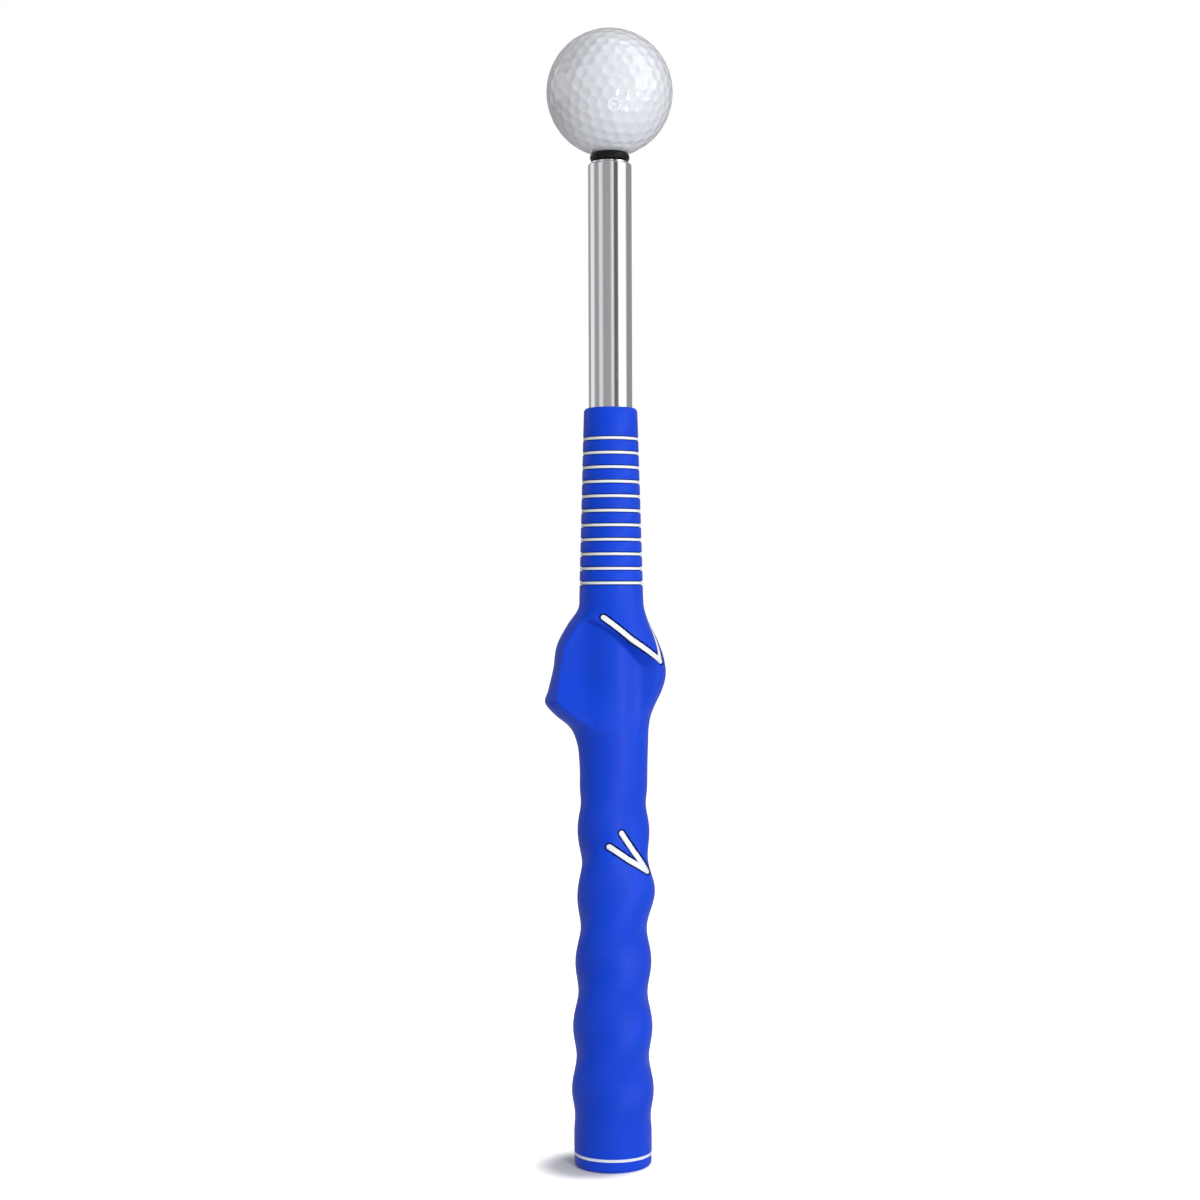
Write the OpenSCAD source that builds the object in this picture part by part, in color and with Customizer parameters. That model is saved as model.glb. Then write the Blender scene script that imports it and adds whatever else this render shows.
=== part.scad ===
// Telescopic swing trainer: a moulded golf training grip on a steel telescopic
// shaft that ends in a full-size golf ball. It stands on its butt, +Z up, and
// the origin is the centre of the flat butt face. Sizes are millimetres.

/* [Grip] */
// Length of the rubber grip with its butt cap
grip_len = 255.4; // [240:0.1:270]
// Amplitude of the spiral finger ridges
ridge_amp = 0.72; // [0:0.02:1.2]
// Pitch of one ridge to the next along the grip
ridge_pitch = 21.8; // [18:0.1:26]
// How far the groove of each marking is sunk into the rubber
mark_depth = 0.6; // [0.3:0.05:1]
// Width of the white V marks
mark_w = 2.1; // [1.5:0.1:3]

/* [Neck rings] */
// Number of white rings around the neck
ring_count = 11; // [5:1:14]
// Spacing of the neck rings
ring_step = 4.85; // [4:0.1:6]
// Width of each neck ring
ring_w = 0.85; // [0.8:0.1:2]
// Height of the lowest neck ring
ring_first_z = 196.3; // [194:0.1:198]

/* [Shaft] */
// Outside diameter of the fixed outer tube
outer_tube_d = 14.7; // [14:0.1:16]
// Height of the outer tube's mouth
outer_top_z = 337.8; // [330:0.1:345]
// Wall of each tube
tube_wall = 0.5; // [0.4:0.05:0.8]

/* [Ball] */
// Diameter of the golf ball
ball_d = 42.67; // [42.6:0.01:43]
// Height of the ball's centre with the shaft closed
ball_z = 362.1; // [360:0.1:366]
// Thickness of the ball's cover
cover_t = 2.035; // [1.5:0.005:2.5]

/* [Hidden] */
$fn = 96;

ball_r = ball_d / 2;
core_r = ball_r - cover_t;
outer_r = outer_tube_d / 2;
outer_bore = outer_r - tube_wall;
tape_r = outer_r + 0.2;
cap_h = 3.85;
butt_ring_h = 0.9;
cap_top = cap_h + butt_ring_h;
spigot_top = 16;
spigot_r = 9.6;
body_top = ring_first_z - ring_w / 2;
mid_r = 6.45;
mid_bore = mid_r - tube_wall;
mid_bottom = 20.1;
mid_top = outer_top_z + 0.6;
inn_r = 5.55;
inn_bore = inn_r - tube_wall;
inn_bottom = 28.5;
inn_top = mid_top - 0.5;
flange_h = 0.6;
ring_base = inn_top + flange_h;
ring_h = 3.3;
insert_z = ball_z - 20.8;
insert_top = 357.2;

blue = [0.05, 0.22, 0.80];
white = [0.93, 0.94, 0.95];
steel = [0.72, 0.73, 0.75];
black = [0.07, 0.07, 0.08];
nylon = [0.85, 0.84, 0.78];
brass = [0.78, 0.62, 0.30];

// ---- grip surface -------------------------------------------------------
// Radius against height on four sides of the grip: left (-X), right (+X),
// front (-Y) and back (+Y). The left side carries the thumb wing.
side_left = [[0, 13.1], [14, 13.15], [30, 13.1], [50, 12.6], [75, 11.6],
  [100, 10.95], [122, 11], [136, 11], [142, 11.7], [148, 14.5], [152, 19.3],
  [156, 22.5], [160, 21.5], [167, 19.8], [176, 18.2], [182.5, 14.7],
  [188, 11.1], [192, 10.78], [196, 10.67]];
side_right = [[0, 13.1], [14, 13.1], [30, 13.1], [50, 12.7], [75, 12.4],
  [100, 12.2], [122, 12], [142, 12.3], [148, 12.6], [152, 13.4], [156, 15.1],
  [160, 17], [166, 18.4], [171, 17.7], [176.5, 15.8], [182.5, 13],
  [188, 11.1], [192, 10.78], [196, 10.67]];
side_front = [[0, 13.1], [14, 13.1], [30, 13.1], [50, 12.6], [75, 12.1],
  [100, 11.8], [122, 11.6], [142, 11.6], [146, 11.8], [149, 12.8], [153, 14],
  [160, 14.6], [170, 14.7], [176, 14], [181.8, 12.5], [186, 11.5],
  [191, 10.81], [196, 10.67]];
side_back = [[0, 13.1], [14, 13.1], [30, 13.1], [50, 12.6], [75, 12.1],
  [100, 11.8], [122, 11.6], [142, 11.8], [150, 12.6], [158, 14], [168, 14.4],
  [178, 13], [186, 11.3], [191, 10.81], [196, 10.67]];

// Smooth curve through the points of one side.
function rise(p, i) = (p[i + 1][1] - p[i][1]) / (p[i + 1][0] - p[i][0]);
function gap(p, i) = p[i + 1][0] - p[i][0];
function tangent(p, i) =
  i == 0 ? rise(p, 0)
  : i == len(p) - 1 ? rise(p, i - 1)
  : (rise(p, i - 1) * gap(p, i) + rise(p, i) * gap(p, i - 1))
    / (gap(p, i - 1) + gap(p, i));
function span_of(p, z, i = 0) =
  (i >= len(p) - 2 || z < p[i + 1][0]) ? i : span_of(p, z, i + 1);
function blend(p, i, t) =
  (2 * t * t * t - 3 * t * t + 1) * p[i][1]
  + (t * t * t - 2 * t * t + t) * gap(p, i) * tangent(p, i)
  + (3 * t * t - 2 * t * t * t) * p[i + 1][1]
  + (t * t * t - t * t) * gap(p, i) * tangent(p, i + 1);
function side(p, z) =
  let (i = span_of(p, z)) blend(p, i, (z - p[i][0]) / gap(p, i));

function clamp01(v) = max(0, min(1, v));
function ease(v) = v * v * (3 - 2 * v);
function step_up(a, b, v) = ease(clamp01((v - a) / (b - a)));
function bell(v, s) = exp(-(v / s) * (v / s));
function soft_min(a, b, k) =
  let (h = clamp01(0.5 + 0.5 * (b - a) / k)) b * (1 - h) + a * h - k * h * (1 - h);
function soft_max(a, b, k) = -soft_min(-a, -b, k);

// Azimuth a is in degrees: 0 faces -Y, 90 faces +X, range -180 to 180.
function plain_r(a, z) =
  let (q = sin(a) * sin(a))
  (sin(a) < 0 ? side(side_left, z) : side(side_right, z)) * q
  + (cos(a) > 0 ? side(side_front, z) : side(side_back, z)) * (1 - q);
// Shallow channel where the lower thumb lies.
function thumb(a, z) = bell(z - 114, 13) * bell(a - 34, 34);
// Two-start spiral of finger ridges on the lower grip.
function ridge(a, z) =
  ridge_amp * (0.7 + 0.3 * sin(a) * sin(a))
  * step_up(10, 23, z) * (1 - step_up(118, 130, z))
  * (1 - 0.9 * clamp01(1.3 * thumb(a, z)))
  * cos(360 * ((z - 25.4) / ridge_pitch - (a - 90) / 180 - 0.12 * cos(a)));
function handle_r(a, z) =
  plain_r(a, z) + ridge(a, z) + 2.0 * bell(z - 95, 8) * bell(a - 68, 55)
  - 1.3 * thumb(a, z);
// Thumb rest hollowed out of the front of the wing, under a slanted rim.
function rim_gap(x, z) = 0.584 * x + 0.811 * z - 147.4 + 0.0095 * (x - 5.5) * (x - 5.5);
function rest_r(a, z) =
  let (left = 8.5 + 2.6 * (1 - step_up(152, 166, z)),
       right = 7.6 + 0.5 * (1 - step_up(150, 176, z)))
  soft_max(11.35 - 0.02 * (z - 150),
    (left + (right - left) * step_up(-0.4, 0.4, sin(a))) / max(cos(a), 0.2), 3);
function grip_r(a, z) =
  let (r = handle_r(a, z), x = r * sin(a), d = rim_gap(x, z), rest = rest_r(a, z))
  r + (soft_min(r, rest, 0.5) - r) * (1 - step_up(-2.6, -0.1, d))
    * step_up(143, 149, z) * step_up(0.15, 0.3, cos(a))
  + 0.5 * bell(d - 0.1, 1) * step_up(-14, -4, x) * (1 - step_up(12, 17, x))
    * step_up(0.2, 0.5, cos(a)) * step_up(150, 160, z)
  + 0.55 * bell(r - rest, 1.3) * (1 - step_up(-9, -6, x)) * step_up(0.2, 0.4, cos(a))
    * step_up(147, 152, z) * (1 - step_up(-1, 1, d));

function polar(a, z, r) = [r * sin(a), -r * cos(a), z];

// ---- helpers ------------------------------------------------------------
module ring_of(r_out, r_in, z0, z1) {
  translate([0, 0, z0])
    difference() {
      cylinder(r = r_out, h = z1 - z0);
      translate([0, 0, -1]) cylinder(r = r_in, h = z1 - z0 + 2);
    }
}

// Raised or hollow band on a tube: a ring with a half-round outside.
module half_round_bead(r_tube, r_bead, z0, z1) {
  rotate_extrude()
    intersection() {
      translate([r_tube - 0.2, z0]) square([r_bead - r_tube + 0.2, z1 - z0]);
      translate([r_bead - (z1 - z0) / 2, (z0 + z1) / 2]) circle(d = z1 - z0);
    }
}

// Closed skin around the grip's moulded body.
side_steps = 48;
heights = concat(
  [for (z = [cap_top : 3.3 : 140]) z],
  [for (z = [142 : 1.9 : 191]) z],
  [body_top]);
function ring_points(z) =
  [for (k = [0 : side_steps - 1])
    let (a = -180 + 360 * k / side_steps) polar(a, z, grip_r(a, z))];
module grip_body() {
  n = side_steps;
  m = len(heights);
  points = [for (z = heights) each ring_points(z)];
  walls = [for (j = [0 : m - 2]) for (k = [0 : n - 1])
    let (k2 = (k + 1) % n)
    each [[j * n + k, (j + 1) * n + k, (j + 1) * n + k2],
          [j * n + k, (j + 1) * n + k2, j * n + k2]]];
  bottom = [for (k = [0 : n - 1]) k];
  top = [for (k = [n - 1 : -1 : 0]) (m - 1) * n + k];
  polyhedron(points = points, faces = concat(walls, [bottom, top]), convexity = 8);
}

// Tapered neck above the body, with one square groove for each ring.
function neck_r(z) = 10.705 - 0.0277 * (z - body_top);
function ring_z(k) = ring_first_z + k * ring_step;
module neck() {
  groove_floor = [for (k = [0 : ring_count - 1]) each
    [[neck_r(ring_z(k)) - mark_depth, ring_z(k) - ring_w / 2],
     [neck_r(ring_z(k)) - mark_depth, ring_z(k) + ring_w / 2],
     [neck_r(ring_z(k)), ring_z(k) + ring_w / 2],
     [neck_r(ring_z(k + 1)), ring_z(k + 1) - ring_w / 2]]];
  outline = [for (i = [0 : len(groove_floor) - 2]) groove_floor[i]];
  edge = 1.5;
  edge_r = neck_r(grip_len) - edge;
  mouth = [for (t = [0 : 10 : 90])
    [edge_r + edge * cos(t), grip_len - edge + edge * sin(t)]];
  floor_r = neck_r(ring_first_z) - mark_depth;
  rotate_extrude()
    polygon(concat([[0, body_top - 5], [floor_r, body_top - 5]],
      outline, mouth, [[0, grip_len]]));
}

// Slice of the moulded body with its skin set in by a given depth.
module inset_slice(z0, z1, depth) {
  n = side_steps;
  zs = [for (z = heights) if (z > z0 && z < z1) z];
  m = len(zs);
  points = [for (z = zs) each
    [for (k = [0 : n - 1])
      let (a = -180 + 360 * k / n) polar(a, z, grip_r(a, z) - depth)]];
  walls = [for (j = [0 : m - 2]) for (k = [0 : n - 1])
    let (k2 = (k + 1) % n)
    each [[j * n + k, (j + 1) * n + k, (j + 1) * n + k2],
          [j * n + k, (j + 1) * n + k2, j * n + k2]]];
  bottom = [for (k = [0 : n - 1]) k];
  top = [for (k = [n - 1 : -1 : 0]) (m - 1) * n + k];
  polyhedron(points = points, faces = concat(walls, [bottom, top]), convexity = 8);
}

// Round-ended bar between two points of a plane.
module bar(p, q) {
  d = q - p;
  translate(p) rotate(atan2(d[1], d[0])) translate([0, -mark_w / 2]) square([norm(d), mark_w]);
  translate(p) circle(d = mark_w);
  translate(q) circle(d = mark_w);
}

// The V shapes as cutters. The arms seen from the front are cut from 20 degrees
// to the right of it, so that their tips stay narrow on the curved side of the
// grip. The back arm of the upper V is cut along X.
mark_turn = 20;
module from_front(depth) {
  rotate([90, 0, 0]) translate([0, 0, -depth]) linear_extrude(height = 30 + depth) children();
}
module from_right(depth) {
  rotate([90, 0, 90]) translate([0, 0, depth]) linear_extrude(height = 30 - depth) children();
}
module lower_v_cutter() {
  rotate([0, 0, mark_turn]) from_front(0) {
    bar([-4.82, 108.4], [1.7, 103.97]);
    bar([1.7, 103.97], [9.69, 99.55]);
    bar([-0.48, 112.8], [4.24, 106.17]);
    bar([4.24, 106.17], [9.69, 99.55]);
  }
}
module upper_v_cutter() {
  rotate([0, 0, mark_turn]) from_front(0) {
    bar([-6.42, 184.7], [2.25, 177.4]);
    bar([2.25, 177.4], [13.72, 170.1]);
  }
  from_right(7) bar([-5.7, 170.1], [0.2, 185.5]);
}

// ---- grip pieces --------------------------------------------------------
module grip_sleeve() {
  color(blue)
  difference() {
    union() {
      grip_body();
      neck();
    }
    translate([0, 0, -1]) cylinder(r = tape_r, h = grip_len + 2);
    translate([0, 0, cap_h]) cylinder(r = spigot_r, h = spigot_top - cap_h);
    difference() {
      upper_v_cutter();
      inset_slice(158, 193, mark_depth);
    }
    difference() {
      lower_v_cutter();
      inset_slice(88, 122, mark_depth);
    }
  }
}

module upper_v_mark() {
  color(white)
  difference() {
    intersection() {
      upper_v_cutter();
      inset_slice(158, 193, 0.1);
    }
    inset_slice(158, 193, mark_depth);
  }
}

module lower_v_mark() {
  color(white)
  difference() {
    intersection() {
      lower_v_cutter();
      inset_slice(88, 122, 0.1);
    }
    inset_slice(88, 122, mark_depth);
  }
}

module neck_ring_inlays() {
  color(white)
  for (k = [0 : ring_count - 1])
    ring_of(neck_r(ring_z(k)) - 0.1, neck_r(ring_z(k)) - mark_depth,
      ring_z(k) - ring_w / 2, ring_z(k) + ring_w / 2);
}

module butt_ring_inlay() {
  color(white)
  ring_of(13.1, spigot_r, cap_h, cap_top);
}

module butt_cap() {
  rim = 1.4;
  rim_arc = [for (t = [-90 : 10 : 0]) [13 - rim + rim * cos(t), rim + rim * sin(t)]];
  color(blue)
  rotate_extrude()
    polygon(concat([[0, 0]], rim_arc,
      [[13, cap_h], [spigot_r, cap_h], [spigot_r, spigot_top],
       [tape_r, spigot_top], [tape_r, 6], [0, 6]]));
}

module grip_tape() {
  color(nylon)
  ring_of(tape_r, outer_r, 8, 253);
}

// ---- fixed outer tube ---------------------------------------------------
module outer_tube() {
  edge = 0.5;
  color(steel)
  rotate_extrude()
    polygon(concat(
      [[outer_bore, 6], [outer_r, 6]],
      [for (t = [0 : 15 : 90])
        [outer_r - edge + edge * cos(t), outer_top_z - edge + edge * sin(t)]],
      [[mid_r + 0.05, outer_top_z], [mid_r + 0.05, outer_top_z - 1.2],
       [outer_bore, outer_top_z - 1.2]]));
}

module outer_end_plug() {
  color(nylon)
  translate([0, 0, 6]) cylinder(r = outer_bore, h = 10);
}

module stop_pad() {
  color(black)
  translate([0, 0, 16]) cylinder(r = 6.5, h = 2.5);
}

module outer_guide_bush() {
  color(nylon)
  ring_of(outer_bore, mid_r + 0.05, outer_top_z - 10.8, outer_top_z - 1.2);
}

// ---- middle section -----------------------------------------------------
module middle_friction_sleeve() {
  color(brass)
  difference() {
    ring_of(outer_bore - 0.02, mid_r + 0.03, mid_bottom + 0.2, mid_bottom + 15.2);
    translate([0, -0.6, mid_bottom]) cube([outer_r, 1.2, 16]);
  }
}

module middle_tube() {
  color(steel)
  union() {
    ring_of(mid_r, mid_bore, mid_bottom, mid_top);
    ring_of(mid_bore + 0.1, inn_r + 0.05, mid_top - 1.2, mid_top);
    difference() {
      half_round_bead(mid_r, 6.72, mid_bottom + 15.5, mid_bottom + 16.5);
      translate([0, 0, mid_bottom]) cylinder(r = mid_r - 0.1, h = 20);
    }
  }
}

module middle_base_ring() {
  color(brass)
  difference() {
    union() {
      translate([0, 0, 18.6]) cylinder(r = 6.7, h = mid_bottom - 18.6);
      translate([0, 0, 18.6]) cylinder(r = mid_bore, h = 7.4);
    }
    translate([0, 0, 18]) cylinder(r = 4.8, h = 9);
  }
}

module middle_guide_bush() {
  color(nylon)
  ring_of(mid_bore, inn_r + 0.05, mid_top - 10.3, mid_top - 1.2);
}

// ---- inner section ------------------------------------------------------
module inner_friction_sleeve() {
  color(brass)
  difference() {
    ring_of(mid_bore - 0.02, inn_r + 0.03, inn_bottom + 0.2, inn_bottom + 15.2);
    translate([0, -0.5, inn_bottom]) cube([mid_r, 1, 16]);
  }
}

module inner_tube() {
  color(steel)
  union() {
    ring_of(inn_r, inn_bore, inn_bottom, inn_top);
    difference() {
      half_round_bead(inn_r, 5.82, inn_bottom + 15.5, inn_bottom + 16.5);
      translate([0, 0, inn_bottom]) cylinder(r = inn_r - 0.1, h = 20);
    }
  }
}

module inner_base_ring() {
  color(brass)
  union() {
    translate([0, 0, 27]) cylinder(r = 5.8, h = inn_bottom - 27);
    translate([0, 0, 27]) cylinder(r = inn_bore, h = 8);
  }
}

module tip_plug() {
  color(brass)
  difference() {
    union() {
      translate([0, 0, 318]) cylinder(r = inn_bore, h = inn_top + 0.2 - 318);
      translate([0, 0, inn_top]) cylinder(r = 5.5, h = flange_h);
    }
    translate([0, 0, 317]) cylinder(r = 3, h = 24);
  }
}

// ---- ball ---------------------------------------------------------------
module ball_stud() {
  color(steel)
  union() {
    translate([0, 0, 322]) cylinder(r = 3, h = 33);
    translate([0, 0, 355]) cylinder(r1 = 3, r2 = 2, h = 1);
  }
}

module bumper_ring() {
  color(black)
  difference() {
    rotate_extrude() {
      translate([3, ring_base]) square([2.05, 4]);
      translate([5.05, ring_base + ring_h / 2]) circle(r = ring_h / 2);
    }
    translate([0, 0, ball_z]) sphere(r = ball_r);
  }
}

module ball_insert() {
  color(brass)
  difference() {
    translate([0, 0, insert_z]) cylinder(r = 4.5, h = insert_top - insert_z);
    translate([0, 0, 341]) cylinder(r = 3, h = 15);
  }
}

module ball_core() {
  color(black)
  difference() {
    translate([0, 0, ball_z]) sphere(r = core_r);
    translate([0, 0, 340]) cylinder(r = 4.5, h = insert_top - 340);
  }
}

module ball_cover() {
  color(white)
  difference() {
    translate([0, 0, ball_z]) sphere(r = ball_r);
    translate([0, 0, ball_z]) sphere(r = core_r);
    translate([0, 0, 340]) cylinder(r = 4.5, h = 10);
  }
}

grip_sleeve();
butt_cap();
butt_ring_inlay();
neck_ring_inlays();
upper_v_mark();
lower_v_mark();
grip_tape();
outer_tube();
outer_end_plug();
stop_pad();
outer_guide_bush();
middle_friction_sleeve();
middle_tube();
middle_base_ring();
middle_guide_bush();
inner_friction_sleeve();
inner_tube();
inner_base_ring();
tip_plug();
ball_stud();
bumper_ring();
ball_insert();
ball_core();
ball_cover();
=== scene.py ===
"""Looks for the swing trainer stick: a finely moulded grip, a dimpled ball, and materials."""
import math

import bpy
import numpy as np
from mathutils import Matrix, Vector


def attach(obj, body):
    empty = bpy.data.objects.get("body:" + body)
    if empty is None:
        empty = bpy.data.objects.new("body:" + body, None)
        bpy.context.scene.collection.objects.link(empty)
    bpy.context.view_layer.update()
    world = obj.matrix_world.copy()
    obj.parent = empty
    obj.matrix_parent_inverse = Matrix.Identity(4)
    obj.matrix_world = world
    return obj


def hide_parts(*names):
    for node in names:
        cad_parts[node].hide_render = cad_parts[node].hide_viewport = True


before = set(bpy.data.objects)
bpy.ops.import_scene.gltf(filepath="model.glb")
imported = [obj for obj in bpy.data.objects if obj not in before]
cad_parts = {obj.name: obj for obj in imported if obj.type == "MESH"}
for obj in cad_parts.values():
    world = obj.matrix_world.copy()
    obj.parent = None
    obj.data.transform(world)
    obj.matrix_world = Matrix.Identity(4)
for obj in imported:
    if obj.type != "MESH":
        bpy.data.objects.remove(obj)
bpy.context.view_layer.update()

MM = 0.001

# ---- sizes repeated from the CAD model, in millimetres ------------------
GRIP_LEN = 255.4
CAP_TOP = 4.75
BORE_R = 7.55
SPIGOT_R = 9.6
SPIGOT_TOP = 16.0
RING_COUNT = 11
RING_STEP = 4.85
RING_W = 0.85
RING_FIRST_Z = 196.3
BODY_TOP = RING_FIRST_Z - RING_W / 2
MARK_DEPTH = 0.6
MARK_W = 2.1
BALL_R = 42.67 / 2
BALL_Z = 362.1
RIDGE_PITCH = 21.8
RIDGE_AMP = 0.72

SIDE_LEFT = [(0, 13.1), (14, 13.15), (30, 13.1), (50, 12.6), (75, 11.6), (100, 10.95),
             (122, 11), (136, 11), (142, 11.7), (148, 14.5), (152, 19.3), (156, 22.5),
             (160, 21.5), (167, 19.8), (176, 18.2), (182.5, 14.7), (188, 11.1),
             (192, 10.78), (196, 10.67)]
SIDE_RIGHT = [(0, 13.1), (14, 13.1), (30, 13.1), (50, 12.7), (75, 12.4), (100, 12.2),
              (122, 12), (142, 12.3), (148, 12.6), (152, 13.4), (156, 15.1), (160, 17),
              (166, 18.4), (171, 17.7), (176.5, 15.8), (182.5, 13), (188, 11.1),
              (192, 10.78), (196, 10.67)]
SIDE_FRONT = [(0, 13.1), (14, 13.1), (30, 13.1), (50, 12.6), (75, 12.1), (100, 11.8),
              (122, 11.6), (142, 11.6), (146, 11.8), (149, 12.8), (153, 14), (160, 14.6),
              (170, 14.7), (176, 14), (181.8, 12.5), (186, 11.5), (191, 10.81), (196, 10.67)]
SIDE_BACK = [(0, 13.1), (14, 13.1), (30, 13.1), (50, 12.6), (75, 12.1), (100, 11.8),
             (122, 11.6), (142, 11.8), (150, 12.6), (158, 14), (168, 14.4), (178, 13),
             (186, 11.3), (191, 10.81), (196, 10.67)]

# ---- sizes of the visual model only, in millimetres ---------------------
# A V groove's wall runs between these two distances beyond the edge of its mark.
WALL_START = 0.12
WALL_END = 0.38
# The groove is painted dark, as shade, from this share of its depth on.
PAINTED_SHADE_FROM = 0.4
# Stands for any distance well away from a mark.
FAR = 99.0
# The white filling stops short of the mark's edge and lies a little under the skin.
FILLING_GAP = 0.14
FILLING_SINK = 0.1
FILLING_CROWN = 0.12
FILLING_LIFT = 0.02
FILLING_ROWS = 60
FILLING_COLUMNS = 11
# Shoulder, edge and wall of a neck ring's groove, as distances beyond the ring.
RING_SHOULDER = 0.42
RING_EDGE = 0.30
RING_WALL = 0.27
RING_EDGE_SINK = 0.05
# The lowest row of the grip is drawn in, over a short rise.
FOOT_IN = 0.12
FOOT_RISE = 0.15
MOUTH_EDGE = 1.5
# Where each zone of the grip's rows starts and the step in it, finest across the V marks.
ROW_ZONES = [(CAP_TOP, 1.1), (96, 0.33), (116, 1.0), (143, 0.5), (166, 0.33), (189.5, 0.8)]
AROUND = 256

DIMPLE_GRID = 6
DIMPLE_R = 1.92
DIMPLE_DEPTH = 0.27
# Share of a dimple's radius from which its rim softens, and how much.
DIMPLE_RIM = 0.82
DIMPLE_SOFTNESS = 0.6
BALL_TILT = math.radians(24)
BALL_SPIN = math.radians(17)
# Around the bumper ring the ball stays plain: heights as shares of its radius.
PLAIN_BELOW = -0.93
DIMPLED_ABOVE = -0.90


# ---- grip surface -------------------------------------------------------
def side(points, z):
    """Smooth curve through (height, radius) points."""
    p = np.array(points, float)
    x, y = p[:, 0], p[:, 1]
    slope = np.diff(y) / np.diff(x)
    gap = np.diff(x)
    tangent = np.empty(len(x))
    tangent[1:-1] = (slope[:-1] * gap[1:] + slope[1:] * gap[:-1]) / (gap[:-1] + gap[1:])
    tangent[0] = slope[0]
    tangent[-1] = slope[-1]
    z = np.clip(z, x[0], x[-1])
    i = np.clip(np.searchsorted(x, z, side="right") - 1, 0, len(x) - 2)
    h = gap[i]
    t = (z - x[i]) / h
    return ((2 * t**3 - 3 * t**2 + 1) * y[i] + (t**3 - 2 * t**2 + t) * h * tangent[i]
            + (3 * t**2 - 2 * t**3) * y[i + 1] + (t**3 - t**2) * h * tangent[i + 1])


def step_up(a, b, v):
    """0 up to a, 1 from b on, and an even S curve between."""
    t = np.clip((v - a) / (b - a), 0, 1)
    return t * t * (3 - 2 * t)


def bell(v, s):
    """1 at 0, falling away on both sides over the width s."""
    return np.exp(-(v / s) ** 2)


def soft_min(a, b, k):
    """The smaller of a and b, with their crossing rounded over k."""
    h = np.clip(0.5 + 0.5 * (b - a) / k, 0, 1)
    return b * (1 - h) + a * h - k * h * (1 - h)


def soft_max(a, b, k):
    """The larger of a and b, with their crossing rounded over k."""
    return -soft_min(-a, -b, k)


def plain_r(a, z):
    """Radius blended from the four sides. a is in degrees: 0 faces -Y, 90 faces +X."""
    s = np.sin(np.radians(a))
    c = np.cos(np.radians(a))
    q = s * s
    return (np.where(s < 0, side(SIDE_LEFT, z), side(SIDE_RIGHT, z)) * q
            + np.where(c > 0, side(SIDE_FRONT, z), side(SIDE_BACK, z)) * (1 - q))


def thumb_channel(a, z):
    """1 in the middle of the shallow channel where the lower thumb lies."""
    return bell(z - 114, 13) * bell(a - 34, 34)


def ridge(a, z):
    """Two-start spiral of finger ridges on the lower grip."""
    s = np.sin(np.radians(a))
    turn = (z - 25.4) / RIDGE_PITCH - (a - 90) / 180 - 0.12 * np.cos(np.radians(a))
    return (RIDGE_AMP * (0.7 + 0.3 * (s * s)) * step_up(10, 23, z) * (1 - step_up(118, 130, z))
            * (1 - 0.9 * np.clip(1.3 * thumb_channel(a, z), 0, 1)) * np.cos(2 * np.pi * turn))


def handle_r(a, z):
    """Radius with the ridges, the swelling beside the lower V mark and the thumb channel."""
    return (plain_r(a, z) + ridge(a, z) + 2.0 * bell(z - 95, 8) * bell(a - 68, 55)
            - 1.3 * thumb_channel(a, z))


def rim_gap(x, z):
    """How far a point lies past the slanted rim of the thumb rest, across x and up z."""
    return 0.584 * x + 0.811 * z - 147.4 + 0.0095 * (x - 5.5) ** 2


def rest_r(a, z):
    """Radius of the floor of the thumb rest."""
    left = 8.5 + 2.6 * (1 - step_up(152, 166, z))
    right = 7.6 + 0.5 * (1 - step_up(150, 176, z))
    flat = left + (right - left) * step_up(-0.4, 0.4, np.sin(np.radians(a)))
    flat = flat / np.maximum(np.cos(np.radians(a)), 0.2)
    return soft_max(11.35 - 0.02 * (z - 150), flat, 3)


def grip_r(a, z):
    """Radius of the moulded grip, with its thumb rest under a slanted rim."""
    c = np.cos(np.radians(a))
    r = handle_r(a, z)
    x = r * np.sin(np.radians(a))
    d = rim_gap(x, z)
    rest = rest_r(a, z)
    hollow = (1 - step_up(-2.6, -0.1, d)) * step_up(143, 149, z) * step_up(0.15, 0.3, c)
    lip = (0.5 * bell(d - 0.1, 1) * step_up(-14, -4, x) * (1 - step_up(12, 17, x))
           * step_up(0.2, 0.5, c) * step_up(150, 160, z))
    rim = (0.55 * bell(r - rest, 1.3) * (1 - step_up(-9, -6, x)) * step_up(0.2, 0.4, c)
           * step_up(147, 152, z) * (1 - step_up(-1, 1, d)))
    return r + (soft_min(r, rest, 0.5) - r) * hollow + lip + rim


def neck_r(z):
    """Radius of the tapered neck above the moulded body."""
    return 10.705 - 0.0277 * (z - BODY_TOP)


# Bars of the V marks: the azimuth they are seen from, then start and end as
# (across, height) in that view.
MARK_BARS = {
    "upper_v_mark": [(20, (-6.42, 184.7), (2.25, 177.4)), (20, (2.25, 177.4), (13.72, 170.1)),
                     (90, (-5.7, 170.1), (0.2, 185.5))],
    "lower_v_mark": [(20, (-4.82, 108.4), (1.7, 103.97)), (20, (1.7, 103.97), (9.69, 99.55)),
                     (20, (-0.48, 112.8), (4.24, 106.17)), (20, (4.24, 106.17), (9.69, 99.55))],
}


def bar_distance(u, z, start, end):
    """Distance in the plane from points to the middle line of a bar."""
    (u0, z0), (u1, z1) = start, end
    du, dz = u1 - u0, z1 - z0
    t = np.clip(((u - u0) * du + (z - z0) * dz) / (du * du + dz * dz), 0, 1)
    return np.hypot(u - u0 - t * du, z - z0 - t * dz)


def groove(a, z, r):
    """1 inside the V grooves, 0 outside, with narrow walls."""
    near = np.full(np.shape(a), FAR)
    for bars in MARK_BARS.values():
        for seen_from, start, end in bars:
            turn = np.radians(a - seen_from)
            away = bar_distance(r * np.sin(turn), z, start, end)
            near = np.minimum(near, np.where(np.cos(turn) > 0, away, FAR))
    return 1 - step_up(MARK_W / 2 + WALL_START, MARK_W / 2 + WALL_END, near)


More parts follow.
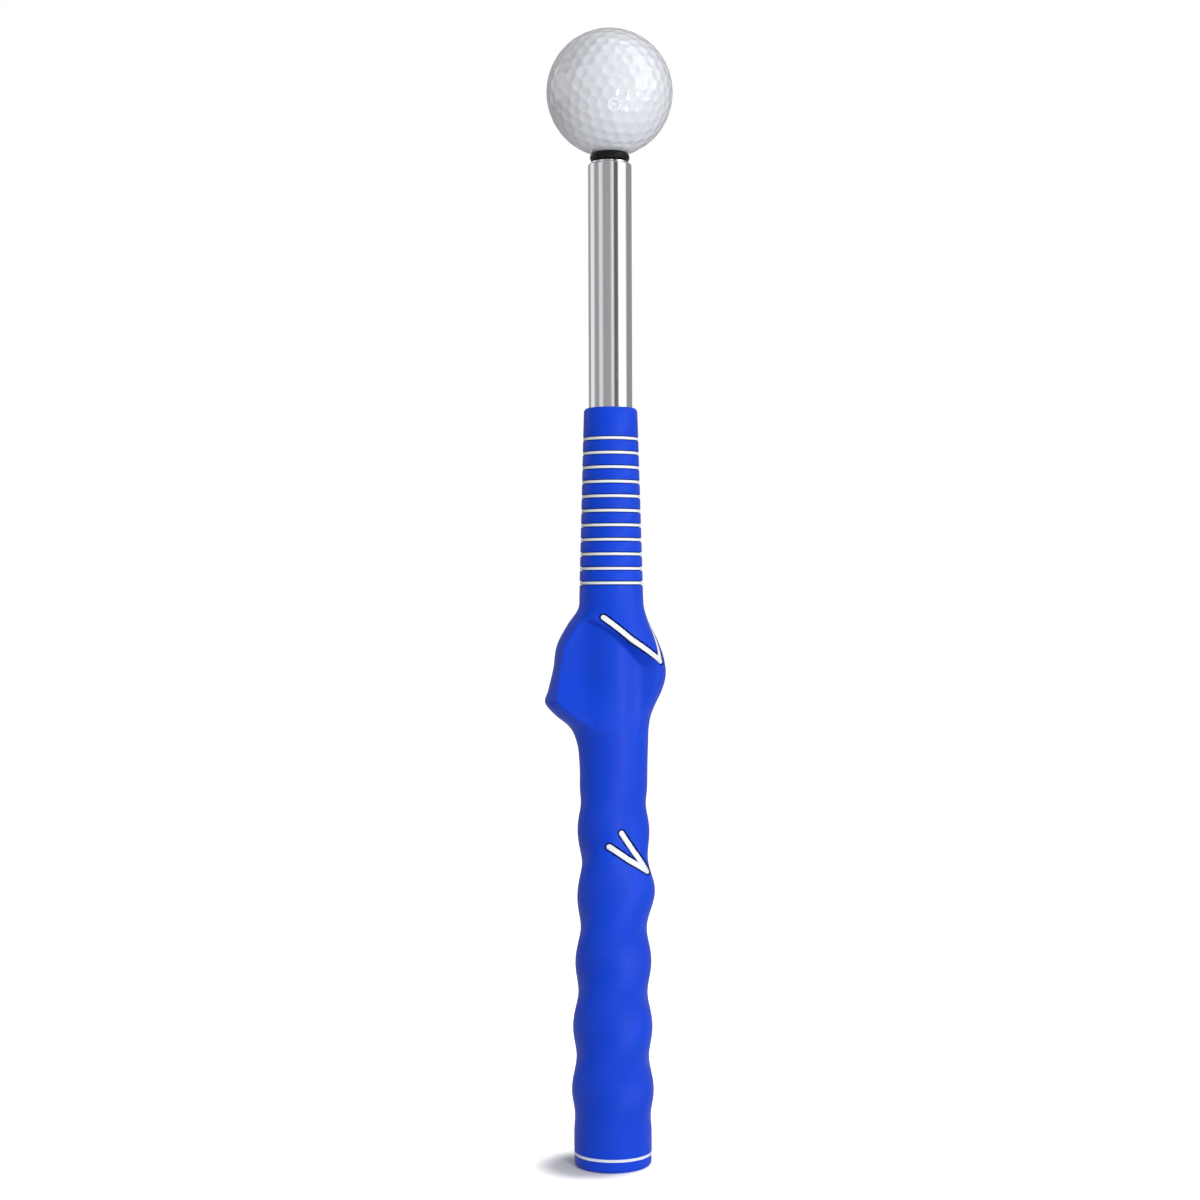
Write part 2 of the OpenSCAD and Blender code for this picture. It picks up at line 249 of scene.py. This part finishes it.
def make_mesh(name, points, faces):
    """Smooth-shaded object from points and faces."""
    mesh = bpy.data.meshes.new(name)
    mesh.from_pydata(points, [], faces)
    mesh.validate()
    mesh.update()
    obj = bpy.data.objects.new(name, mesh)
    bpy.context.collection.objects.link(obj)
    mesh.polygons.foreach_set("use_smooth", [True] * len(mesh.polygons))
    return obj


def closed_grid_faces(rows, columns):
    """Quads of a tube of rows by columns, closed around and from its last row to its first."""
    j = np.arange(rows)[:, None]
    k = np.arange(columns)[None, :]
    j2 = (j + 1) % rows
    k2 = (k + 1) % columns
    quads = np.stack([j * columns + k, j2 * columns + k, j2 * columns + k2,
                      j * columns + k2], axis=-1)
    return quads.reshape(-1, 4)


def grip_rows():
    """Radii, height and painted groove-shade flags of every row of the grip's skin, butt up and
    back inside.
    """
    a = -180 + 360 * np.arange(AROUND) / AROUND
    ends = [start for start, _ in ROW_ZONES[1:]] + [BODY_TOP]
    body_z = np.concatenate([np.arange(start, end, step)
                             for (start, step), end in zip(ROW_ZONES, ends)])
    rows = []
    for z in body_z:
        heights = np.full(AROUND, z)
        r = grip_r(a, heights)
        cut = groove(a, heights, r)
        rows.append((r - MARK_DEPTH * cut, z, cut > PAINTED_SHADE_FROM))
    even = np.ones(AROUND)
    clear = np.zeros(AROUND, bool)
    second_z = CAP_TOP + FOOT_RISE
    rows[0] = (rows[0][0] - FOOT_IN, CAP_TOP, clear)
    rows.insert(1, (grip_r(a, np.full(AROUND, second_z)), second_z, clear))
    for k in range(RING_COUNT):
        low = RING_FIRST_Z + k * RING_STEP - RING_W / 2
        high = low + RING_W
        profile = ((low - RING_SHOULDER, 0), (low - RING_EDGE, RING_EDGE_SINK),
                   (low - RING_WALL, MARK_DEPTH), (high + RING_WALL, MARK_DEPTH),
                   (high + RING_EDGE, RING_EDGE_SINK), (high + RING_SHOULDER, 0))
        # Rows at the full depth of a ring's groove get the painted groove shade.
        for z, sink in profile:
            rows.append((even * (neck_r(z) - sink), z, clear | (sink == MARK_DEPTH)))
    edge_r = neck_r(GRIP_LEN) - MOUTH_EDGE
    for t in range(0, 91, 10):
        bend = math.radians(t)
        rows.append((even * (edge_r + MOUTH_EDGE * math.cos(bend)),
                     GRIP_LEN - MOUTH_EDGE + MOUTH_EDGE * math.sin(bend), clear))
    rows.append((even * BORE_R, GRIP_LEN, clear))
    rows.append((even * BORE_R, SPIGOT_TOP, clear))
    rows.append((even * SPIGOT_R, SPIGOT_TOP, clear))
    rows.append((even * SPIGOT_R, CAP_TOP, clear))
    return a, rows


def make_grip():
    """The rubber grip, with painted shade on the walls and floors of its grooves."""
    a, rows = grip_rows()
    s = np.sin(np.radians(a))
    c = np.cos(np.radians(a))
    points = np.concatenate([np.stack([r * s, -r * c, np.full(len(a), z)], axis=-1)
                             for r, z, _ in rows]) * MM
    faces = closed_grid_faces(len(rows), len(a))[:, ::-1]
    obj = make_mesh("grip_moulding", points.tolist(), faces.tolist())
    obj.data.set_sharp_from_angle(angle=math.radians(38))
    # Plain rubber first, then the painted shade on the walls and floors of the grooves.
    in_painted_shade = np.concatenate([flags for _, _, flags in rows])
    obj.data.materials.append(BLUE)
    obj.data.materials.append(GROOVE_SHADE)
    obj.data.polygons.foreach_set("material_index", in_painted_shade[faces].any(axis=1).astype(np.int32))
    return obj


def azimuth_of(u, z, seen_from):
    """Azimuth where the grip surface shows at a point of the view from one side."""
    low = np.full(np.shape(u), seen_from - 89.0)
    high = np.full(np.shape(u), seen_from + 89.0)
    for _ in range(28):
        mid = (low + high) / 2
        r = grip_r(mid, z)
        below = r * np.sin(np.radians(mid - seen_from)) < u
        low = np.where(below, mid, low)
        high = np.where(below, high, mid)
    return (low + high) / 2


def bar_mesh(seen_from, start_point, end_point, points, faces):
    """Adds one round-ended bar of white filling, slightly crowned, to points and faces."""
    (u0, z0), (u1, z1) = start_point, end_point
    length = math.hypot(u1 - u0, z1 - z0)
    du, dz = (u1 - u0) / length, (z1 - z0) / length
    half = MARK_W / 2 - FILLING_GAP
    inset = 0.3
    narrowest = 0.02
    ends = [half * math.cos(math.radians(t)) for t in range(10, 91, 10)]
    along = np.array([-e for e in ends] + list(np.linspace(inset, length - inset, FILLING_ROWS))
                     + [length + e for e in reversed(ends)])
    beyond = np.maximum(np.maximum(-along, along - length), 0)
    width = np.sqrt(np.maximum(half**2 - beyond**2, narrowest**2))
    across = np.linspace(-1, 1, FILLING_COLUMNS)
    w = width[:, None] * across[None, :]
    u = u0 + along[:, None] * du - w * dz
    z = z0 + along[:, None] * dz + w * du
    a = azimuth_of(u, z, seen_from)
    r = grip_r(a, z)
    n, m = u.shape
    start = len(points)
    top = r - FILLING_SINK - FILLING_CROWN * np.abs(across[None, :]) ** 4
    floor = r - MARK_DEPTH + FILLING_LIFT
    for radius in (top, floor):
        x = radius * np.sin(np.radians(a))
        y = -radius * np.cos(np.radians(a))
        points.extend((np.stack([x, y, z], axis=-1).reshape(-1, 3) * MM).tolist())
    lower = start + n * m
    for j in range(n - 1):
        for k in range(m - 1):
            p = j * m + k
            q = p + m
            faces.append((start + p, start + p + 1, start + q + 1, start + q))
            faces.append((lower + p, lower + q, lower + q + 1, lower + p + 1))
    rim = ([k for k in range(m)] + [j * m + m - 1 for j in range(1, n)]
           + [(n - 1) * m + k for k in range(m - 2, -1, -1)] + [j * m for j in range(n - 2, 0, -1)])
    for p, q in zip(rim, rim[1:] + rim[:1]):
        faces.append((start + p, lower + p, lower + q, start + q))


def make_mark(node):
    """The white filling of one V mark."""
    points = []
    faces = []
    for seen_from, start, end in MARK_BARS[node]:
        bar_mesh(seen_from, start, end, points, faces)
    obj = make_mesh(node.replace("mark", "filling"), points, faces)
    obj.data.set_sharp_from_angle(angle=math.radians(40))
    return obj


# ---- ball ---------------------------------------------------------------
def dimple_centres():
    """Evenly spread directions: an icosahedron's faces cut into a triangular grid."""
    g = (1 + math.sqrt(5)) / 2
    corners = [Vector(v).normalized() for v in (
        (-1, g, 0), (1, g, 0), (-1, -g, 0), (1, -g, 0), (0, -1, g), (0, 1, g),
        (0, -1, -g), (0, 1, -g), (g, 0, -1), (g, 0, 1), (-g, 0, -1), (-g, 0, 1))]
    edge = min((corners[0] - c).length for c in corners[1:])
    found = {}
    for i in range(12):
        for j in range(i + 1, 12):
            for k in range(j + 1, 12):
                trio = (corners[i], corners[j], corners[k])
                if max((trio[0] - trio[1]).length, (trio[1] - trio[2]).length,
                       (trio[2] - trio[0]).length) > edge * 1.01:
                    continue
                for p in range(DIMPLE_GRID + 1):
                    for q in range(DIMPLE_GRID + 1 - p):
                        v = trio[0] * p + trio[1] * q + trio[2] * (DIMPLE_GRID - p - q)
                        v.normalize()
                        found[(round(v.x, 4), round(v.y, 4), round(v.z, 4))] = v
    return np.array([tuple(v) for v in found.values()])


def make_ball():
    """The golf ball, a fine sphere with its dimples pressed in."""
    bpy.ops.mesh.primitive_ico_sphere_add(subdivisions=7, radius=1)
    obj = bpy.context.object
    obj.name = "dimpled_ball"
    obj.data.name = "dimpled_ball"
    mesh = obj.data
    flat = np.empty(len(mesh.vertices) * 3)
    mesh.vertices.foreach_get("co", flat)
    v = flat.reshape(-1, 3)
    v /= np.linalg.norm(v, axis=1)[:, None]
    centres = dimple_centres()
    cos_t, sin_t = math.cos(BALL_TILT), math.sin(BALL_TILT)
    cos_s, sin_s = math.cos(BALL_SPIN), math.sin(BALL_SPIN)
    turn_x = np.array([[1, 0, 0], [0, cos_t, -sin_t], [0, sin_t, cos_t]])
    turn_z = np.array([[cos_s, -sin_s, 0], [sin_s, cos_s, 0], [0, 0, 1]])
    centres = centres @ turn_x.T @ turn_z.T
    # In 16 parts, to keep the table of directions against dimples small.
    nearest = np.concatenate([(part @ centres.T).max(axis=1)
                              for part in np.array_split(v, 16)])
    gap = np.arccos(np.clip(nearest, -1, 1)) * BALL_R
    t = np.clip(gap / DIMPLE_R, 0, 1)
    bowl = DIMPLE_DEPTH * (1 - t**2) * (1 - step_up(DIMPLE_RIM, 1.0, t) * DIMPLE_SOFTNESS)
    foot = step_up(PLAIN_BELOW, DIMPLED_ABOVE, v[:, 2])
    co = v * (BALL_R - bowl * foot)[:, None]
    co[:, 2] += BALL_Z
    mesh.vertices.foreach_set("co", (co * MM).ravel())
    mesh.update()
    mesh.polygons.foreach_set("use_smooth", [True] * len(mesh.polygons))
    return obj


# ---- materials ----------------------------------------------------------
# Noise seldom leaves this range, so it is stretched from here to the full range.
NOISE_RANGE = (0.3, 0.7)


def map_range(tree, source, from_range, to_range):
    """Node that moves a value from one range to another."""
    node = tree.nodes.new("ShaderNodeMapRange")
    sockets = ("From Min", "From Max", "To Min", "To Max")
    for key, value in zip(sockets, (*from_range, *to_range)):
        node.inputs[key].default_value = value
    tree.links.new(source, node.inputs["Value"])
    return node


class Look:
    """A Principled material with a few procedural layers."""

    def __init__(self, name, colour, roughness, metallic=0.0, **values):
        self.mat = bpy.data.materials.new(name)
        self.mat.use_nodes = True
        self.nodes = self.mat.node_tree.nodes
        self.links = self.mat.node_tree.links
        self.shader = self.nodes["Principled BSDF"]
        self.shader.inputs["Base Color"].default_value = (*colour, 1)
        self.shader.inputs["Roughness"].default_value = roughness
        self.shader.inputs["Metallic"].default_value = metallic
        self.normal = None
        for key, value in values.items():
            self.shader.inputs[key.replace("_", " ")].default_value = value

    def coordinates(self, scale):
        """Object coordinates, scaled along each axis."""
        coord = self.nodes.new("ShaderNodeTexCoord")
        mapping = self.nodes.new("ShaderNodeMapping")
        mapping.inputs["Scale"].default_value = scale
        self.links.new(coord.outputs["Object"], mapping.inputs["Vector"])
        return mapping.outputs["Vector"]

    def noise(self, scale, detail=3.0, stretch=(1, 1, 1)):
        """Noise between 0 and 1, finer for a larger scale."""
        tex = self.nodes.new("ShaderNodeTexNoise")
        tex.inputs["Scale"].default_value = scale
        tex.inputs["Detail"].default_value = detail
        self.links.new(self.coordinates(stretch), tex.inputs["Vector"])
        return tex.outputs["Fac"]

    def bump(self, height, strength, distance):
        """Adds a bump layer on top of the ones before it."""
        node = self.nodes.new("ShaderNodeBump")
        node.inputs["Strength"].default_value = strength
        node.inputs["Distance"].default_value = distance
        self.links.new(height, node.inputs["Height"])
        if self.normal:
            self.links.new(self.normal, node.inputs["Normal"])
        self.normal = node.outputs["Normal"]
        self.links.new(self.normal, self.shader.inputs["Normal"])

    def vary(self, socket, source, low, high):
        """Varies one input of the shader between low and high."""
        node = map_range(self.mat.node_tree, source, NOISE_RANGE, (low, high))
        self.links.new(node.outputs["Result"], self.shader.inputs[socket])

    def tint(self, source, first, second):
        """Varies the base colour from the first to the second."""
        ramp = self.nodes.new("ShaderNodeValToRGB")
        for step, place, colour in zip(ramp.color_ramp.elements, NOISE_RANGE, (first, second)):
            step.position = place
            step.color = (*colour, 1)
        self.links.new(source, ramp.inputs["Fac"])
        self.links.new(ramp.outputs["Color"], self.shader.inputs["Base Color"])


def grip_rubber():
    look = Look("blue_grip_rubber", (0.004, 0.075, 0.86), 0.36, Specular_IOR_Level=0.26)
    look.tint(look.noise(60, 4), (0.0014, 0.056, 0.68), (0.0020, 0.064, 0.76))
    look.vary("Roughness", look.noise(240, 3), 0.36, 0.44)
    look.bump(look.noise(1800, 2), 0.10, 0.00012)
    look.bump(look.noise(90, 3), 0.05, 0.0004)
    return look.mat


# Dark rubber for groove walls and floors: painted shade, since the rubber there is the grip's own
# blue.
def painted_groove_shade():
    look = Look("groove_shade_painted_rubber", (0.0015, 0.010, 0.12), 0.55, Specular_IOR_Level=0.1)
    look.tint(look.noise(60, 4), (0.0012, 0.008, 0.10), (0.0018, 0.012, 0.15))
    look.vary("Roughness", look.noise(240, 3), 0.5, 0.6)
    look.bump(look.noise(1800, 2), 0.08, 0.0001)
    return look.mat


def white_filling():
    look = Look("white_marking_paint", (0.86, 0.87, 0.88), 0.35)
    look.tint(look.noise(300, 3), (0.91, 0.95, 0.99), (0.93, 0.965, 1.0))
    look.vary("Roughness", look.noise(600, 2), 0.3, 0.42)
    look.bump(look.noise(900, 2), 0.08, 0.0001)
    return look.mat


def polished_steel():
    look = Look("polished_steel_tube", (0.78, 0.79, 0.80), 0.10, 1.0)
    look.tint(look.noise(25, 3, (1, 1, 0.1)), (0.75, 0.76, 0.775), (0.81, 0.82, 0.83))
    look.vary("Roughness", look.noise(700, 3, (1, 1, 0.02)), 0.07, 0.14)
    look.bump(look.noise(1500, 2, (1, 1, 0.01)), 0.008, 0.00005)
    return look.mat


def turned_metal(name, colour, roughness):
    look = Look(name, colour, roughness, 1.0)
    dark = tuple(v * 0.88 for v in colour)
    look.tint(look.noise(400, 3, (0.1, 0.1, 3)), dark, colour)
    look.vary("Roughness", look.noise(900, 2, (0.05, 0.05, 4)), roughness - 0.06, roughness + 0.1)
    look.bump(look.noise(1600, 2, (0.03, 0.03, 5)), 0.12, 0.00006)
    return look.mat


def soft_matt(name, colour, roughness, grain, **values):
    look = Look(name, colour, roughness, **values)
    look.tint(look.noise(grain / 4, 3), tuple(v * 0.85 for v in colour), colour)
    look.vary("Roughness", look.noise(grain, 2), roughness - 0.06, roughness + 0.06)
    look.bump(look.noise(grain, 3), 0.15, 0.00012)
    return look.mat


def ball_gloss():
    look = Look("ball_urethane", (0.86, 0.87, 0.88), 0.22, Coat_Weight=1.0, Coat_Roughness=0.04,
                Coat_IOR=1.8)
    look.tint(look.noise(40, 3), (0.80, 0.82, 0.88), (0.83, 0.85, 0.91))
    look.vary("Roughness", look.noise(500, 2), 0.18, 0.28)
    look.bump(look.noise(1400, 2), 0.02, 0.00004)
    return look.mat


BLUE = grip_rubber()
GROOVE_SHADE = painted_groove_shade()
WHITE = white_filling()
STEEL = polished_steel()
BRASS = turned_metal("turned_brass", (0.72, 0.52, 0.22), 0.25)
STUD = turned_metal("turned_steel_stud", (0.58, 0.58, 0.60), 0.28)
NYLON = soft_matt("natural_nylon", (0.72, 0.70, 0.63), 0.45, 500)
TAPE = soft_matt("woven_grip_tape", (0.66, 0.62, 0.50), 0.8, 1500)
BLACK = soft_matt("black_rubber", (0.006, 0.006, 0.007), 0.36, 1100, Specular_IOR_Level=0.25)
CORE = soft_matt("moulded_ball_core", (0.10, 0.10, 0.11), 0.6, 400)
BALL = ball_gloss()

NODE_LOOKS = {
    "butt_cap": BLUE, "butt_ring_inlay": WHITE, "neck_ring_inlays": WHITE,
    "grip_tape": TAPE, "outer_tube": STEEL, "outer_end_plug": NYLON, "stop_pad": BLACK,
    "outer_guide_bush": NYLON, "middle_friction_sleeve": BRASS, "middle_tube": STEEL,
    "middle_base_ring": BRASS, "middle_guide_bush": NYLON, "inner_friction_sleeve": BRASS,
    "inner_tube": STEEL, "inner_base_ring": BRASS, "tip_plug": BRASS, "ball_stud": STUD,
    "bumper_ring": BLACK, "ball_insert": BRASS, "ball_core": CORE,
}


def paint(obj, mat):
    """Gives the whole object one material."""
    if not obj.material_slots:
        obj.data.materials.append(mat)
    for place in obj.material_slots:
        place.material = mat


for node_name, mat in NODE_LOOKS.items():
    paint(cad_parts[node_name], mat)

grip = make_grip()
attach(grip, "handle")
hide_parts("grip_sleeve")

for mark_node in ("upper_v_mark", "lower_v_mark"):
    mark = make_mark(mark_node)
    paint(mark, WHITE)
    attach(mark, "handle")
    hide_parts(mark_node)

ball = make_ball()
paint(ball, BALL)
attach(ball, "inner_stage")
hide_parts("ball_cover")

# ---- floor --------------------------------------------------------------
# In metres: the floor doesn't glow within the first distance of this point, and glows fully beyond
# the second.
# The unglowing spot is a painted contact shadow, which the cast shadow deepens.
SHADOW_CENTRE = (-0.008, -0.002, 0)
SHADOW_EDGE = (0.010, 0.024)
FLOOR_GLOW = 0.80


def make_floor():
    """Pale floor. To the camera it glows white, except at the foot, where the fading glow paints a
    shadow that the cast shadow deepens.
    """
    bpy.ops.mesh.primitive_plane_add(size=12, location=(0, 0, 0))
    floor = bpy.context.object
    floor.name = "studio_floor"
    look = Look("pale_floor", (0.8, 0.8, 0.805), 0.8, Specular_IOR_Level=0.0,
                Emission_Color=(1, 1, 1, 1))
    coord = look.nodes.new("ShaderNodeTexCoord")
    away = look.nodes.new("ShaderNodeVectorMath")
    away.operation = "DISTANCE"
    away.inputs[1].default_value = SHADOW_CENTRE
    look.links.new(coord.outputs["Object"], away.inputs[0])
    fade = map_range(look.mat.node_tree, away.outputs["Value"], SHADOW_EDGE, (0.0, FLOOR_GLOW))
    fade.interpolation_type = "SMOOTHSTEP"
    # Only camera rays see the glow, so the floor sends little light back up.
    path = look.nodes.new("ShaderNodeLightPath")
    glow = look.nodes.new("ShaderNodeMath")
    glow.operation = "MULTIPLY"
    look.links.new(path.outputs["Is Camera Ray"], glow.inputs[0])
    look.links.new(fade.outputs["Result"], glow.inputs[1])
    look.links.new(glow.outputs[0], look.shader.inputs["Emission Strength"])
    paint(floor, look.mat)


make_floor()

# ---- world --------------------------------------------------------------
# Azimuth in degrees around the object (0 is towards the camera) and brightness.
BANDS = [(-180, 0.35), (-130, 0.40), (-122, 0.95), (-98, 0.95), (-88, 0.38), (-66, 0.38),
         (-58, 0.85), (-44, 0.85), (-36, 0.40), (2, 0.42), (8, 0.9), (17, 0.9), (22, 0.15),
         (41, 0.15), (46, 1.35), (88, 1.35), (98, 0.35), (180, 0.35)]
BAND_BLUENESS = 1.01
# A dark flag high on the left for the glossy ball to mirror: the direction of its middle,
# the cosines at its outer and inner edge, and its brightness.
FLAG = (-0.60, -0.06, 0.80)
FLAG_EDGE = (0.85, 0.90)
FLAG_LEVEL = 0.03
# Matt surfaces get most light from this direction and none from the opposite one.
LEAN = (0.8, -0.25, 0.55)
LEAN_LEVEL = 0.58


def dot_with(tree, source, direction):
    """Cosine of the angle between a direction and the one in a socket."""
    node = tree.nodes.new("ShaderNodeVectorMath")
    node.operation = "DOT_PRODUCT"
    node.inputs[1].default_value = Vector(direction).normalized()
    tree.links.new(source, node.inputs[0])
    return node.outputs["Value"]


def share_around(tree, direction):
    """Azimuth of a direction, as a share from 0 to 1 of the way around the object."""
    split = tree.nodes.new("ShaderNodeSeparateXYZ")
    tree.links.new(direction, split.inputs["Vector"])
    flip = tree.nodes.new("ShaderNodeMath")
    flip.operation = "MULTIPLY"
    flip.inputs[1].default_value = -1
    tree.links.new(split.outputs["Y"], flip.inputs[0])
    angle = tree.nodes.new("ShaderNodeMath")
    angle.operation = "ARCTAN2"
    tree.links.new(split.outputs["X"], angle.inputs[0])
    tree.links.new(flip.outputs[0], angle.inputs[1])
    return map_range(tree, angle.outputs[0], (-math.pi, math.pi), (0, 1)).outputs["Result"]


def mirrored_bands(tree, direction):
    """What glossy surfaces mirror: upright light and dark bands, and the dark flag."""
    ramp = tree.nodes.new("ShaderNodeValToRGB")
    ramp.color_ramp.interpolation = "LINEAR"
    steps = ramp.color_ramp.elements
    while len(steps) < len(BANDS):
        steps.new(0.5)
    for step, (azimuth, level) in zip(steps, BANDS):
        step.position = (azimuth + 180) / 360
        step.color = (level, level, level * BAND_BLUENESS, 1)
    tree.links.new(share_around(tree, direction), ramp.inputs["Fac"])
    shade = map_range(tree, dot_with(tree, direction, FLAG), FLAG_EDGE, (1.0, FLAG_LEVEL))
    background = tree.nodes.new("ShaderNodeBackground")
    tree.links.new(ramp.outputs["Color"], background.inputs["Color"])
    tree.links.new(shade.outputs["Result"], background.inputs["Strength"])
    return background.outputs[0]


def white_background(tree):
    node = tree.nodes.new("ShaderNodeBackground")
    node.inputs["Color"].default_value = (1, 1, 1, 1)
    return node


def matt_light(tree, direction):
    """What lights matt surfaces: dimmer on the left, brighter on the right and above."""
    level = map_range(tree, dot_with(tree, direction, LEAN), (-1, 1), (0.0, LEAN_LEVEL))
    background = white_background(tree)
    tree.links.new(level.outputs["Result"], background.inputs["Strength"])
    return background.outputs[0]


def choose(tree, condition, otherwise, chosen):
    """Shader that is chosen where the condition is 1, and otherwise where it is 0."""
    mix = tree.nodes.new("ShaderNodeMixShader")
    tree.links.new(condition, mix.inputs["Fac"])
    tree.links.new(otherwise, mix.inputs[1])
    tree.links.new(chosen, mix.inputs[2])
    return mix.outputs[0]


def make_world():
    """Soft studio surroundings, plain white to the camera."""
    world = bpy.data.worlds.new("studio")
    bpy.context.scene.world = world
    world.use_nodes = True
    tree = world.node_tree
    tree.nodes.clear()
    out = tree.nodes.new("ShaderNodeOutputWorld")
    direction = tree.nodes.new("ShaderNodeTexCoord").outputs["Generated"]
    path = tree.nodes.new("ShaderNodeLightPath")
    unseen = choose(tree, path.outputs["Is Glossy Ray"], matt_light(tree, direction),
                    mirrored_bands(tree, direction))
    plain = white_background(tree).outputs[0]
    surface = choose(tree, path.outputs["Is Camera Ray"], unseen, plain)
    tree.links.new(surface, out.inputs["Surface"])


make_world()
bpy.context.scene.view_settings.view_transform = "Standard"
bpy.context.scene.view_settings.look = "None"


# ---- lights -------------------------------------------------------------
def area_light(name, place, target, size, power, shows):
    """Soft light aimed at a target, sized across and up. Mirrored only where shows is set."""
    data = bpy.data.lights.new(name, "AREA")
    data.shape = "RECTANGLE"
    data.size, data.size_y = size
    data.energy = power
    obj = bpy.data.objects.new(name, data)
    bpy.context.collection.objects.link(obj)
    obj.location = place
    obj.rotation_euler = (Vector(target) - Vector(place)).to_track_quat("-Z", "Y").to_euler()
    obj.visible_camera = False
    obj.visible_glossy = shows


area_light("key_softbox", (0.42, -0.95, 0.55), (0, 0, 0.17), (0.3, 0.5), 4.0, False)
area_light("strip_softbox", (0.75, -0.35, 0.22), (0, 0, 0.19), (0.07, 0.62), 0.45, True)
# Low strip for the highlight along the grip.
area_light("grip_strip", (0.41, -0.57, 0.14), (0, 0, 0.12), (0.06, 0.24), 0.5, True)
area_light("side_glint", (0.62, -0.30, 0.48), (0, 0, 0.36), (0.07, 0.07), 0.12, True)
area_light("low_glint", (0.08, -0.45, 0.05), (0, 0, 0.36), (0.05, 0.05), 0.05, True)
area_light("top_softbox", (-0.25, -0.35, 1.15), (0, 0, 0.2), (0.8, 0.8), 1.6, False)
area_light("floor_fill", (0.3, -0.2, 1.6), (0, 0, 0), (1.8, 1.8), 0.8, False)

# ---- camera -------------------------------------------------------------
# Sensor width and focal length in millimetres.
SENSOR = 36
FOCAL = 63
TILT = math.radians(90.05)
ROLL = math.radians(0.195)
FAR_CLIP = 50

camera_data = bpy.data.cameras.new("camera")
camera_data.lens = FOCAL
camera_data.sensor_width = SENSOR
camera_data.clip_end = FAR_CLIP
camera = bpy.data.objects.new("camera", camera_data)
bpy.context.collection.objects.link(camera)
camera.location = (-0.0038, -0.71, 0.190)
camera.rotation_euler = (TILT, ROLL, 0)
bpy.context.scene.camera = camera
